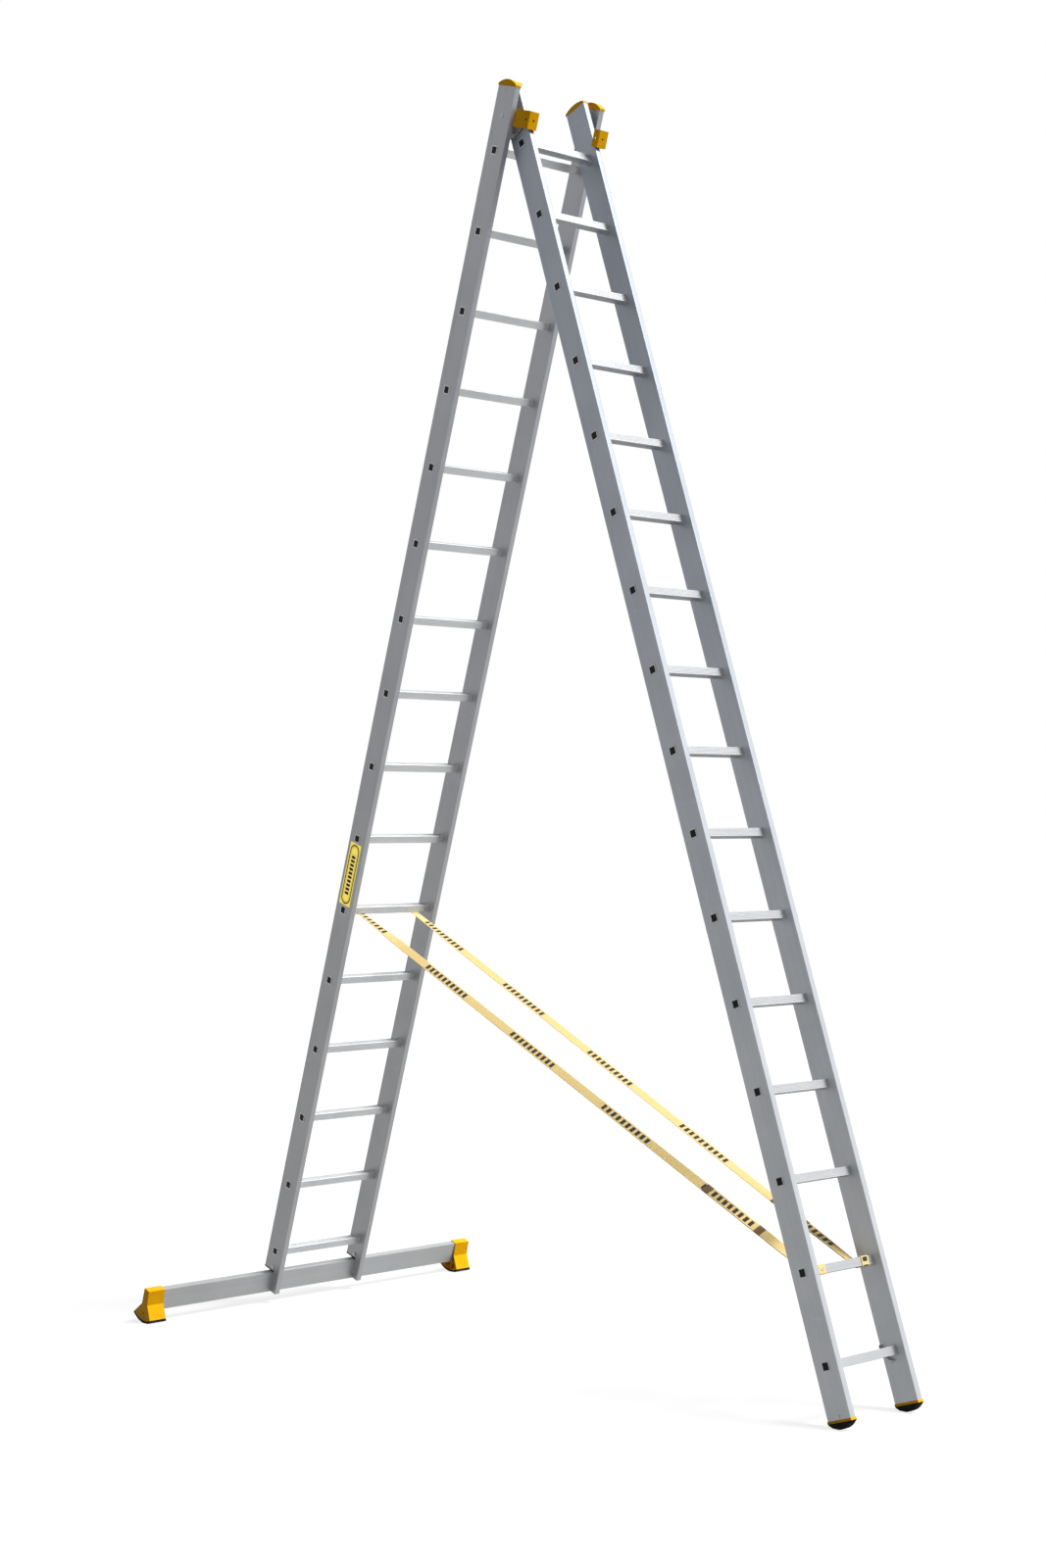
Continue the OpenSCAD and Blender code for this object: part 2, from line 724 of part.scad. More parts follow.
module narrow_foot_pads() {
    centre = narrow_outer - stile_thickness / 2;
    color(rubber_black) above_floor() in_narrow() on_both_sides() union() {
        across(narrow_inner - 1.5, narrow_outer + 1.5) pad_profile();
        box_between([-stem_half, centre - stem_width / 2, pad_top - 1],
                    [stem_half, centre + stem_width / 2, pad_top + stem_rise]);
    }
}

module catch_band(inner, outer, from, to) {
    polygon(concat(arc_points(catch_centre, inner, from, to, 16),
                   arc_points(catch_centre, outer, to, from, 16)));
}

module rung_catches() {
    color(aluminium) in_narrow() on_both_sides() difference() {
        union() {
            across(narrow_inner - catch_proud, narrow_inner)
                catch_band(catch_radius - catch_wall, catch_radius, 172, 258);
            across(narrow_inner - 1.5, narrow_inner)
                catch_band(catch_radius - 1, catch_radius + catch_flange, 206, 250);
        }
        for (place = catch_rivets)
            round_across(place, thin_rivet_radius + fit_gap, narrow_inner - 3, narrow_inner + 1);
    }
}

// Rivets of the catches and screws of the feet on the narrow section
module narrow_rivets() {
    color(zinc) in_narrow() on_both_sides() {
        for (place = catch_rivets) union() {
            round_across(place, 3.2, narrow_inner - 2.5, narrow_inner - 1.5);
            round_across(place, thin_rivet_radius, narrow_inner - 2, narrow_inner + stile_wall + 1);
            round_across(place, 2.6, narrow_inner + stile_wall, narrow_inner + stile_wall + 3);
        }
        union() {
            round_across(foot_screw, foot_screw_radius, narrow_outer - 11, narrow_outer + 0.5);
            round_across(foot_screw, 4, narrow_outer, narrow_outer + 1.5);
        }
    }
}

module strap_loop(y) {
    hole = rung_size + 2 * small_gap;
    across(y - strap_width / 2, y + strap_width / 2) difference() {
        square(hole + 2 * strap_thickness, center = true);
        square(hole, center = true);
    }
}

// Two webbings that stop the sections at their opening angle
module opening_straps() {
    reach = rung_size / 2 + small_gap + strap_thickness / 2;
    start = wide_point(reach - 3, rung_height(strap_wide_rung) - reach);
    stop = narrow_point(-reach, rung_height(strap_narrow_rung) - reach);
    color(webbing_yellow) for (place = strap_places) {
        run = [stop[0] - start[0], place[1] - place[0], stop[1] - start[1]];
        flat_run = norm([run[0], run[1]]);
        union() {
            in_wide() translate([0, 0, rung_height(strap_wide_rung)]) strap_loop(place[0]);
            in_narrow() translate([0, 0, rung_height(strap_narrow_rung)]) strap_loop(place[1]);
            translate([start[0], place[0], start[1]])
                rotate([0, -atan2(run[2], flat_run), atan2(run[1], run[0])])
                    translate([0, -strap_width / 2, -strap_thickness / 2])
                        cube([norm(run), strap_width, strap_thickness]);
        }
    }
}

on_side(-1) wide_stile();  // wide_stile_left
on_side(1) wide_stile();  // wide_stile_right
for (k = [1:rung_count]) wide_rung(k);
wide_rung_plugs();
wide_top_caps();
on_side(-1) guide();  // guide_left
on_side(1) guide();  // guide_right
guide_bolts();
hinge_pins();
stabiliser_bar();
on_side(-1) stabiliser_foot();  // stabiliser_foot_left
on_side(1) stabiliser_foot();  // stabiliser_foot_right
stabiliser_soles();
stabiliser_bolts();
end_plugs_and_guide_pads();
wide_rivets();
label_plate();
on_side(-1) hinge_plate();  // hinge_plate_left
on_side(1) hinge_plate();  // hinge_plate_right
on_side(-1) narrow_stile();  // narrow_stile_left
on_side(1) narrow_stile();  // narrow_stile_right
for (k = [1:rung_count]) narrow_rung(k);
narrow_rung_plugs();
narrow_top_caps();
narrow_foot_flanges();
narrow_foot_pads();
shoulder_studs();
rung_catches();
narrow_rivets();
opening_straps();
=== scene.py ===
import json
import math
import bpy
from mathutils import Matrix, Vector


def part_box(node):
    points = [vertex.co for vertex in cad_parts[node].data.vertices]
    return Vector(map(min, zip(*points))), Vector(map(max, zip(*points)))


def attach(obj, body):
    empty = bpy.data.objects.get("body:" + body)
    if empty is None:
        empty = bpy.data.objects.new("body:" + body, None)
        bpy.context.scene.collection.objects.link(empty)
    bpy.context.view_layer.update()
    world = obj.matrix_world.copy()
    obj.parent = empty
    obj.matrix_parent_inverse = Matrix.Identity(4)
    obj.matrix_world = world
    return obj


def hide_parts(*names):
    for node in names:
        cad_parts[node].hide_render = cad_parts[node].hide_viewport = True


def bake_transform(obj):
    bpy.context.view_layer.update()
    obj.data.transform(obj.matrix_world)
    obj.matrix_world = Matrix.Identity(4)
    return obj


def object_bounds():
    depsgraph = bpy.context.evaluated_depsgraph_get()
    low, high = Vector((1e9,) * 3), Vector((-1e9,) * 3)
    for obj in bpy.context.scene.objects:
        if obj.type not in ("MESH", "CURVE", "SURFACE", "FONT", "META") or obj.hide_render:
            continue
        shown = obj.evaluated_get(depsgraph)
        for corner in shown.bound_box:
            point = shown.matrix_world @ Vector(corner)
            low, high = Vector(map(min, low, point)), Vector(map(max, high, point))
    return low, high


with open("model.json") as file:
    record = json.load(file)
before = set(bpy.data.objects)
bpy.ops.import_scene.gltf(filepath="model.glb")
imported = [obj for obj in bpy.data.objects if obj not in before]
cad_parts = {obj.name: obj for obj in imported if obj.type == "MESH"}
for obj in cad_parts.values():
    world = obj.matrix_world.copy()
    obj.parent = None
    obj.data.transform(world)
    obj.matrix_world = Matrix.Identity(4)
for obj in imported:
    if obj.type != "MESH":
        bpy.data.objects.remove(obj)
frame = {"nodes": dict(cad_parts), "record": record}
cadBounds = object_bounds()
nodes = frame["nodes"]
print("frame loaded:", len(nodes), "nodes")


# Each section of the ladder has its own directions: up its stiles, and out of its tread side
across = Vector((0, 1, 0))


def middle(node):
    low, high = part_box(node)
    return (low + high) / 2


def sectionFrame(section):
    rungs = sorted(n for n in nodes if n.startswith(section + "_rung_") and n[-1].isdigit())
    up = (middle(rungs[0]) - middle(rungs[-1])).normalized()
    return {"up": up, "front": across.cross(up), "lean": math.atan2(up.x, up.z)}


wide = sectionFrame("wide")
narrow = sectionFrame("narrow")
rungHalf = 0.014  # half the side of the square rung


# Camera, placed from the ladder's own origin on the floor
shot = {"place": (6.00637, -5.42653, 1.7146), "yaw": 0.84616, "pitch": 0.03133, "roll": -0.01443,
        "lens": 52.992, "film": 36.0, "farthest": 200}


def makeCamera(look):
    yaw, pitch, roll = look["yaw"], look["pitch"], look["roll"]
    right = Vector((math.cos(yaw), math.sin(yaw), 0))
    ahead = Vector((-math.sin(yaw) * math.cos(pitch), math.cos(yaw) * math.cos(pitch), math.sin(pitch)))
    above = right.cross(ahead)
    turnedRight = right * math.cos(roll) + above * math.sin(roll)
    turnedUp = above * math.cos(roll) - right * math.sin(roll)
    data = bpy.data.cameras.new("camera")
    data.lens, data.sensor_width, data.sensor_fit = look["lens"], look["film"], "AUTO"
    data.clip_end = look["farthest"]
    camera = bpy.data.objects.new("camera", data)
    bpy.context.scene.collection.objects.link(camera)
    camera.matrix_world = Matrix((
        (turnedRight.x, turnedUp.x, -ahead.x, look["place"][0]),
        (turnedRight.y, turnedUp.y, -ahead.y, look["place"][1]),
        (turnedRight.z, turnedUp.z, -ahead.z, look["place"][2]),
        (0, 0, 0, 1)))
    bpy.context.scene.camera = camera


makeCamera(shot)
bpy.context.scene.view_settings.view_transform = "Standard"


# Node helpers. feed links a socket to an input, and sets any other value on it
def feed(tree, node, sockets):
    for key, value in sockets.items():
        if isinstance(value, bpy.types.NodeSocket):
            tree.links.new(value, node.inputs[key])
        else:
            node.inputs[key].default_value = value
    return node


def addNode(tree, kind, sockets=None, **settings):
    node = tree.nodes.new(kind)
    for key, value in settings.items():
        setattr(node, key, value)
    return feed(tree, node, sockets or {})


def calc(tree, operation, a, b=0.0, c=0.0, clamp=False):
    node = addNode(tree, "ShaderNodeMath", {0: a, 1: b, 2: c}, operation=operation, use_clamp=clamp)
    return node.outputs[0]


def vectorCalc(tree, operation, a, b=(0.0, 0.0, 0.0)):
    return addNode(tree, "ShaderNodeVectorMath", {0: a, 1: b}, operation=operation).outputs[0]


def split(tree, vector):
    return addNode(tree, "ShaderNodeSeparateXYZ", {0: vector}).outputs


# Turns a place back by a section's lean, so that its z runs up the stiles
def upright(tree, place, lean):
    return addNode(tree, "ShaderNodeVectorRotate", {"Vector": place, "Angle": lean},
                   rotation_type="Y_AXIS", invert=True).outputs[0]


# Two values added, the first with this share and the second with the rest
def weigh(tree, first, second, share):
    return calc(tree, "MULTIPLY_ADD", first, share, calc(tree, "MULTIPLY", second, 1 - share))


def ramp(tree, value, low, high, outLow=0.0, outHigh=1.0, smooth=False):
    kind = "SMOOTHSTEP" if smooth else "LINEAR"
    return addNode(tree, "ShaderNodeMapRange", {"Value": value, "From Min": low, "From Max": high,
                   "To Min": outLow, "To Max": outHigh}, interpolation_type=kind).outputs[0]


def noise(tree, place, scale, detail=2.0, roughness=0.5):
    return addNode(tree, "ShaderNodeTexNoise", {"Vector": place, "Scale": scale, "Detail": detail,
                   "Roughness": roughness}).outputs["Fac"]


def mixColour(tree, factor, first, second, kind="MIX"):
    node = addNode(tree, "ShaderNodeMix", {0: factor, 6: first, 7: second}, data_type="RGBA", blend_type=kind)
    return node.outputs[2]


# A node group with a Place input and these others, and outputs that are all plain values
def newGroup(name, inputs, outputs):
    tree = bpy.data.node_groups.new(name, "ShaderNodeTree")
    for label, value in {"Place": (0.0, 0.0, 0.0), **inputs}.items():
        kind = "NodeSocketVector" if isinstance(value, tuple) else "NodeSocketFloat"
        tree.interface.new_socket(name=label, in_out="INPUT", socket_type=kind).default_value = value
    for label in outputs:
        tree.interface.new_socket(name=label, in_out="OUTPUT", socket_type="NodeSocketFloat")
    return tree, tree.nodes.new("NodeGroupInput").outputs, tree.nodes.new("NodeGroupOutput")


def useGroup(tree, group, sockets):
    node = tree.nodes.new("ShaderNodeGroup")
    node.node_tree = group
    return feed(tree, node, sockets).outputs


# Lines that the die leaves along an extrusion, in the section's own directions
def makeDrawnLines():
    tree, given, result = newGroup("drawnLines", {"Lean": 0.0, "Spread": (1.0, 1.0, 1.0)}, ["Lines", "Bands"])
    spread = vectorCalc(tree, "MULTIPLY", upright(tree, given["Place"], given["Lean"]), given["Spread"])
    fine = noise(tree, spread, scale=9.0, detail=3.0, roughness=0.6)
    coarse = noise(tree, spread, scale=1.6, detail=2.0, roughness=0.5)
    bands = noise(tree, spread, scale=0.45, detail=1.0, roughness=0.4)
    feed(tree, result, {"Lines": weigh(tree, coarse, fine, 0.35), "Bands": bands})
    return tree


# Soft clouding, short handling scratches two ways, and specks
def makeHandling():
    tree, given, result = newGroup("handling", {"Cloud Scale": 6.0, "Scratch Scale": 40.0},
                                   ["Cloud", "Scratches", "Specks"])
    cloud = noise(tree, given["Place"], given["Cloud Scale"], detail=4.0, roughness=0.55)
    masks = []
    for direction in ((0.12, 1.0, 0.9), (1.0, 0.9, 0.1)):
        drawn = vectorCalc(tree, "MULTIPLY", given["Place"], direction)
        scratched = noise(tree, drawn, given["Scratch Scale"], detail=5.0, roughness=0.7)
        masks.append(ramp(tree, scratched, 0.66, 0.72))
    specks = noise(tree, given["Place"], scale=420.0, detail=2.0, roughness=0.6)
    feed(tree, result, {"Cloud": ramp(tree, cloud, 0.3, 0.7), "Specks": ramp(tree, specks, 0.62, 0.74),
                        "Scratches": calc(tree, "MAXIMUM", masks[0], masks[1])})
    return tree


# Rubbed edges, broken up by noise; their paler colour is also a painted highlight along the edges
def makeEdgeWearAndHighlight():
    tree, given, result = newGroup("edgeWearAndHighlight", {"Radius": 0.002, "Break Up": 60.0}, ["Mask"])
    rounded = addNode(tree, "ShaderNodeBevel", {"Radius": given["Radius"]}, samples=4).outputs[0]
    flat = addNode(tree, "ShaderNodeNewGeometry").outputs["Normal"]
    facing = addNode(tree, "ShaderNodeVectorMath", {0: rounded, 1: flat}, operation="DOT_PRODUCT")
    edge = ramp(tree, facing.outputs["Value"], 0.995, 0.86)
    broken = noise(tree, given["Place"], given["Break Up"], detail=3.0, roughness=0.6)
    feed(tree, result, {"Mask": calc(tree, "MULTIPLY", edge, ramp(tree, broken, 0.35, 0.62))})
    return tree


# Fine spark-eroded grain of moulded parts, and the slow waviness under it
def makeMouldedGrain():
    tree, given, result = newGroup("mouldedGrain", {"Scale": 900.0}, ["Grain", "Waves"])
    grain = noise(tree, given["Place"], given["Scale"], detail=3.0, roughness=0.6)
    waves = noise(tree, given["Place"], scale=45.0, detail=2.0, roughness=0.5)
    feed(tree, result, {"Grain": grain, "Waves": waves})
    return tree


# Where dust gathers near the floor
def makeFloorDust():
    tree, given, result = newGroup("floorDust", {"Reach": 0.12}, ["Mask"])
    height = split(tree, given["Place"])["Z"]
    low = ramp(tree, calc(tree, "DIVIDE", height, given["Reach"]), 1.0, 0.0)
    patches = noise(tree, given["Place"], scale=70.0, detail=5.0, roughness=0.65)
    feed(tree, result, {"Mask": calc(tree, "MULTIPLY", low, ramp(tree, patches, 0.38, 0.7))})
    return tree


# Plain weave of a flat webbing: Place runs along the webbing in X and across it in Y, in metres
def makeWebbingWeave():
    tree, given, result = newGroup("webbingWeave", {"Pitch": 0.0017, "Half Width": 0.016},
                                   ["Height", "Shade", "Selvedge", "Wander"])
    parts = split(tree, given["Place"])
    wander = noise(tree, given["Place"], scale=60.0, detail=3.0, roughness=0.6)
    turn = calc(tree, "DIVIDE", math.tau, given["Pitch"])
    alongWave = calc(tree, "SINE", calc(tree, "MULTIPLY", parts["X"], turn))
    acrossTurn = calc(tree, "MULTIPLY", turn, 0.72)  # the weave is coarser across the webbing than along it
    acrossWave = calc(tree, "SINE", calc(tree, "MULTIPLY", parts["Y"], acrossTurn))
    height = calc(tree, "MULTIPLY_ADD", calc(tree, "MULTIPLY", alongWave, acrossWave), 0.5, 0.5)
    wrapped = calc(tree, "SUBTRACT", parts["Y"], calc(tree, "ROUND", parts["Y"]))
    edge = calc(tree, "DIVIDE", calc(tree, "ABSOLUTE", wrapped), given["Half Width"])
    # Shade is random wander, and painted shade where the weave is low
    feed(tree, result, {"Height": height, "Shade": weigh(tree, wander, height, 0.6),
                        "Selvedge": ramp(tree, edge, 0.86, 0.93), "Wander": wander})
    return tree


drawnLines = makeDrawnLines()
handling = makeHandling()
edgeWearAndHighlight = makeEdgeWearAndHighlight()
mouldedGrain = makeMouldedGrain()
floorDust = makeFloorDust()
webbingWeave = makeWebbingWeave()
print("node groups made")


def newMaterial(name, **sockets):
    material = bpy.data.materials.new(name)
    material.use_nodes = True
    tree = material.node_tree
    tree.nodes.clear()
    shader = addNode(tree, "ShaderNodeBsdfPrincipled", {k.replace("_", " "): v for k, v in sockets.items()})
    addNode(tree, "ShaderNodeOutputMaterial", {"Surface": shader.outputs[0]})
    return material, tree, shader


def objectPlace(tree):
    return tree.nodes.new("ShaderNodeTexCoord").outputs["Object"]


def webbingPlace(tree):
    return addNode(tree, "ShaderNodeUVMap", uv_map="webbing").outputs[0]


def setBump(tree, shader, height, depth):
    bump = addNode(tree, "ShaderNodeBump", {"Distance": depth, "Height": height})
    tree.links.new(bump.outputs[0], shader.inputs["Normal"])


# How much an edge or a scratch shows its rubbed colour, which on the edges is also a painted highlight
def rubbedAndHighlitMask(tree, wornAndHighlit, marks, edge, scratch):
    return calc(tree, "MULTIPLY_ADD", wornAndHighlit["Mask"], edge, calc(tree, "MULTIPLY", marks["Scratches"], scratch))


# Extruded aluminium: drawn lines along the profile, clouded oxide, bright rubbed edges that also carry a
# painted highlight.
# The colour goes from dark to pale over the surface. Its tint from low to high up the ladder is a painted
# reflection and shade: bluer towards the top, on the narrow stiles darker there too, with each section's
# stiles at their own brightness.
stileSpread = (260.0, 260.0, 0.7)  # lines run up the stile
crossSpread = (260.0, 0.9, 260.0)  # lines run across the ladder
noPaintedShade = (1, 1, 1, 1)
aluminiumLook = {
    # low and high: tints of painted reflection and shade, multiplied into the colour at the foot and at the
    # top of the ladder
    "wideStile": {
        "lean": wide["lean"], "spread": stileSpread, "depth": 0.00006, "edge": 0.5,
        "dark": (0.42, 0.43, 0.45, 1), "pale": (0.51, 0.515, 0.53, 1),
        "low": (0.90, 0.90, 0.89, 1), "high": (0.91, 0.925, 0.955, 1)},
    "narrowStile": {
        "lean": narrow["lean"], "spread": stileSpread, "depth": 0.00006, "edge": 0.5,
        "dark": (0.42, 0.43, 0.45, 1), "pale": (0.51, 0.515, 0.53, 1),
        "low": (1.06, 1.08, 1.09, 1), "high": (0.74, 0.79, 0.88, 1)},
    # The wide rungs get a paler colour than the narrow rungs of the same aluminium: painted light that
    # brightens the wide rungs
    "wideRung": {
        "lean": wide["lean"], "spread": crossSpread, "depth": 0.000004, "edge": 0.12,
        "dark": (0.61, 0.62, 0.63, 1), "pale": (0.70, 0.705, 0.71, 1), "low": noPaintedShade, "high": noPaintedShade},
    "narrowRung": {
        "lean": narrow["lean"], "spread": crossSpread, "depth": 0.000004, "edge": 0.12,
        "dark": (0.48, 0.49, 0.505, 1), "pale": (0.565, 0.575, 0.585, 1), "low": noPaintedShade, "high": noPaintedShade},
    "bar": {
        "lean": wide["lean"], "spread": crossSpread, "depth": 0.000004, "edge": 0.5,
        "dark": (0.42, 0.425, 0.43, 1), "pale": (0.50, 0.505, 0.51, 1), "low": noPaintedShade, "high": noPaintedShade},
}
aluminiumFinish = {"metallic": 0.45, "rough": (0.40, 0.52), "smoothed": -0.08, "scratch": 0.12,
                   "specks": 0.12, "paintedShadeFrom": 0.2,
                   "rubbedAndHighlit": (0.82, 0.82, 0.83, 1), "grime": (0.30, 0.30, 0.30, 1)}


def makeAluminium(name, look, finish):
    material, tree, shader = newMaterial(name + "Aluminium", Metallic=finish["metallic"])
    place = objectPlace(tree)
    lines = useGroup(tree, drawnLines, {"Place": place, "Lean": look["lean"], "Spread": look["spread"]})
    marks = useGroup(tree, handling, {"Place": place, "Cloud Scale": 5.0, "Scratch Scale": 34.0})
    wornAndHighlit = useGroup(tree, edgeWearAndHighlight, {"Place": place, "Radius": 0.0015, "Break Up": 45.0})
    tone = weigh(tree, marks["Cloud"], weigh(tree, lines["Lines"], lines["Bands"], 0.55), 0.3)
    colour = mixColour(tree, ramp(tree, tone, 0.25, 0.75), look["dark"], look["pale"])
    # painted reflection and shade: the colour is multiplied by a tint that goes from low to high up the
    # ladder
    height = ramp(tree, split(tree, place)["Z"], finish["paintedShadeFrom"], cadBounds[1][2], smooth=True)
    colour = mixColour(tree, 1.0, colour, mixColour(tree, height, look["low"], look["high"]), "MULTIPLY")
    specks = calc(tree, "MULTIPLY", marks["Specks"], finish["specks"])
    colour = mixColour(tree, specks, colour, finish["grime"])
    # paler edges: rubbed wear and a painted highlight
    rubbedAndHighlit = rubbedAndHighlitMask(tree, wornAndHighlit, marks, look["edge"], finish["scratch"])
    rough = ramp(tree, lines["Lines"], 0.3, 0.7, *finish["rough"])
    rough = calc(tree, "MULTIPLY_ADD", marks["Scratches"], finish["smoothed"], rough)
    feed(tree, shader, {"Base Color": mixColour(tree, rubbedAndHighlit, colour, finish["rubbedAndHighlit"]), "Roughness": rough})
    setBump(tree, shader, lines["Lines"], look["depth"])
    return material


aluminium = {name: makeAluminium(name, look, aluminiumFinish) for name, look in aluminiumLook.items()}

# Turned and pressed metal: rivets, bolts, pins and plates
metalLook = {
    "rivet": {"dark": (0.42, 0.425, 0.43, 1), "pale": (0.60, 0.605, 0.61, 1), "rubbedAndHighlit": (0.8, 0.8, 0.8, 1),
              "edge": 0.5, "metallic": 0.45, "rough": (0.34, 0.48), "depth": 0.00005},
    "zinc": {"dark": (0.36, 0.365, 0.375, 1), "pale": (0.60, 0.605, 0.62, 1), "rubbedAndHighlit": (0.8, 0.8, 0.8, 1),
             "edge": 0.5, "metallic": 0.6, "rough": (0.28, 0.44), "depth": 0.00005},
}


def makeMetal(name, look):
    material, tree, shader = newMaterial(name + "Metal", Metallic=look["metallic"])
    place = objectPlace(tree)
    marks = useGroup(tree, handling, {"Place": place, "Cloud Scale": 90.0, "Scratch Scale": 160.0})
    wornAndHighlit = useGroup(tree, edgeWearAndHighlight, {"Place": place, "Radius": 0.0008, "Break Up": 200.0})
    colour = mixColour(tree, weigh(tree, marks["Scratches"], marks["Cloud"], 0.3), look["dark"], look["pale"])
    # paler edges: rubbed wear and a painted highlight
    rubbedAndHighlit = calc(tree, "MULTIPLY", wornAndHighlit["Mask"], look["edge"])
    feed(tree, shader, {"Base Color": mixColour(tree, rubbedAndHighlit, colour, look["rubbedAndHighlit"]),
                        "Roughness": ramp(tree, marks["Cloud"], 0.0, 1.0, *look["rough"])})
    setBump(tree, shader, marks["Cloud"], look["depth"])
    return material


metal = {name: makeMetal(name, look) for name, look in metalLook.items()}

# Moulded plastic and rubber
plasticLook = {
    "amber": {
        "dark": (0.94, 0.43, 0.0, 1), "pale": (1.0, 0.52, 0.0, 1), "wornAndHighlit": (1.0, 0.62, 0.03, 1),
        "rough": (0.36, 0.5), "level": 0.1, "grain": 0.00010, "dust": (0.52, 0.34, 0.08, 1), "dusty": 0.2},
    "black": {
        "dark": (0.002, 0.002, 0.002, 1), "pale": (0.006, 0.006, 0.006, 1), "wornAndHighlit": (0.03, 0.03, 0.03, 1),
        "rough": (0.42, 0.6), "level": 0.12, "grain": 0.00010, "dust": (0.08, 0.08, 0.075, 1), "dusty": 0.2},
    "rubber": {
        "dark": (0.002, 0.002, 0.002, 1), "pale": (0.006, 0.006, 0.006, 1), "wornAndHighlit": (0.03, 0.028, 0.025, 1),
        "rough": (0.7, 0.9), "level": 0.12, "grain": 0.00018, "dust": (0.10, 0.09, 0.075, 1), "dusty": 0.25},
}
plasticFinish = {"edge": 0.45, "scratch": 0.12, "dustReach": 0.07, "dustRough": 0.3, "waves": 1.5}


def makePlastic(name, look, finish):
    material, tree, shader = newMaterial(name + "Moulding", Specular_IOR_Level=look["level"])
    place = objectPlace(tree)
    grain = useGroup(tree, mouldedGrain, {"Place": place, "Scale": 900.0})
    marks = useGroup(tree, handling, {"Place": place, "Cloud Scale": 26.0, "Scratch Scale": 60.0})
    wornAndHighlit = useGroup(tree, edgeWearAndHighlight, {"Place": place, "Radius": 0.0018, "Break Up": 110.0})
    dust = useGroup(tree, floorDust, {"Place": place, "Reach": finish["dustReach"]})
    tone = ramp(tree, weigh(tree, grain["Waves"], marks["Cloud"], 0.5), 0.2, 0.75)
    colour = mixColour(tree, tone, look["dark"], look["pale"])
    # paler edges and scratches: rubbed wear, and on the edges a painted highlight
    rubbedAndHighlit = rubbedAndHighlitMask(tree, wornAndHighlit, marks, finish["edge"], finish["scratch"])
    colour = mixColour(tree, rubbedAndHighlit, colour, look["wornAndHighlit"])
    dusty = calc(tree, "MULTIPLY", dust["Mask"], look["dusty"])
    rough = ramp(tree, grain["Waves"], 0.3, 0.7, *look["rough"])
    rough = calc(tree, "MULTIPLY_ADD", dusty, finish["dustRough"], rough, clamp=True)
    feed(tree, shader, {"Base Color": mixColour(tree, dusty, colour, look["dust"]), "Roughness": rough})
    height = calc(tree, "MULTIPLY_ADD", grain["Waves"], finish["waves"], grain["Grain"])
    setBump(tree, shader, height, look["grain"])
    return material


plastic = {name: makePlastic(name, look, plasticFinish) for name, look in plasticLook.items()}

# Yellow film with a dark rounded frame, a thin line inside it and a stack of plain bars
labelLook = {"halfWidth": 0.0325, "halfHeight": 0.12,
             "metallic": 0.85, "rough": (0.28, 0.4), "depth": 0.00012,
             "film": (1.0, 0.78, 0.10, 1), "faded": (1.0, 0.82, 0.17, 1), "ink": (0.012, 0.011, 0.010, 1),
             "outerLine": {"inset": 0.0075, "corner": 0.0245, "thick": 0.0052},
             "innerLine": {"inset": 0.0138, "corner": 0.0182, "thick": 0.0012},
             "lineEdge": 0.0002, "scuff": 0.75,
             "bars": {"halfWidth": 0.0115, "height": 0.0105, "every": 0.0155, "stackHalf": 0.078}}


# A line round the label, from the distance to a rounded rectangle. Away is the place from the label's centre
def frameLine(tree, away, line, half, lineEdge):
    reach = (half.x - line["inset"] - line["corner"], 1.0, half.z - line["inset"] - line["corner"])
    parts = split(tree, vectorCalc(tree, "SUBTRACT", away, reach))
    x, z = calc(tree, "MAXIMUM", parts["X"], 0.0), calc(tree, "MAXIMUM", parts["Z"], 0.0)
    squares = calc(tree, "ADD", calc(tree, "MULTIPLY", x, x), calc(tree, "MULTIPLY", z, z))
    outside = calc(tree, "SQRT", squares)
    inside = calc(tree, "MINIMUM", calc(tree, "MAXIMUM", parts["X"], parts["Z"]), 0.0)
    distance = calc(tree, "SUBTRACT", calc(tree, "ADD", outside, inside), line["corner"])
    halfLine = line["thick"] / 2
    return ramp(tree, calc(tree, "ABSOLUTE", distance), halfLine, halfLine + lineEdge, 1.0, 0.0)


def barStack(tree, turned, away, bars):
    along = calc(tree, "ADD", split(tree, turned)["Z"], bars["stackHalf"])
    fromMiddle = split(tree, away)
    stack = calc(tree, "LESS_THAN", calc(tree, "FLOORED_MODULO", along, bars["every"]), bars["height"])
    stack = calc(tree, "MULTIPLY", stack, calc(tree, "LESS_THAN", fromMiddle["X"], bars["halfWidth"]))
    return calc(tree, "MULTIPLY", stack, calc(tree, "LESS_THAN", fromMiddle["Z"], bars["stackHalf"]))


def makeLabelFilm(look):
    low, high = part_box("label_plate")
    half = Vector((look["halfWidth"], 0, look["halfHeight"]))
    material, tree, shader = newMaterial("labelFilm", Metallic=look["metallic"])
    place = objectPlace(tree)
    turned = upright(tree, vectorCalc(tree, "SUBTRACT", place, (low + high) / 2), wide["lean"])
    away = vectorCalc(tree, "ABSOLUTE", turned)
    lines = [frameLine(tree, away, look[name], half, look["lineEdge"]) for name in ("outerLine", "innerLine")]
    ink = calc(tree, "MAXIMUM", calc(tree, "MAXIMUM", *lines), barStack(tree, turned, away, look["bars"]))
    marks = useGroup(tree, handling, {"Place": place, "Cloud Scale": 30.0, "Scratch Scale": 70.0})
    film = mixColour(tree, marks["Cloud"], look["film"], look["faded"])
    scuffed = calc(tree, "MULTIPLY", ink, ramp(tree, marks["Scratches"], 0.0, 1.0, 1.0, look["scuff"]))
    feed(tree, shader, {"Base Color": mixColour(tree, scuffed, film, look["ink"]),
                        "Roughness": ramp(tree, marks["Cloud"], 0.0, 1.0, *look["rough"])})
    setBump(tree, shader, marks["Cloud"], look["depth"])
    return material


labelFilm = makeLabelFilm(labelLook)


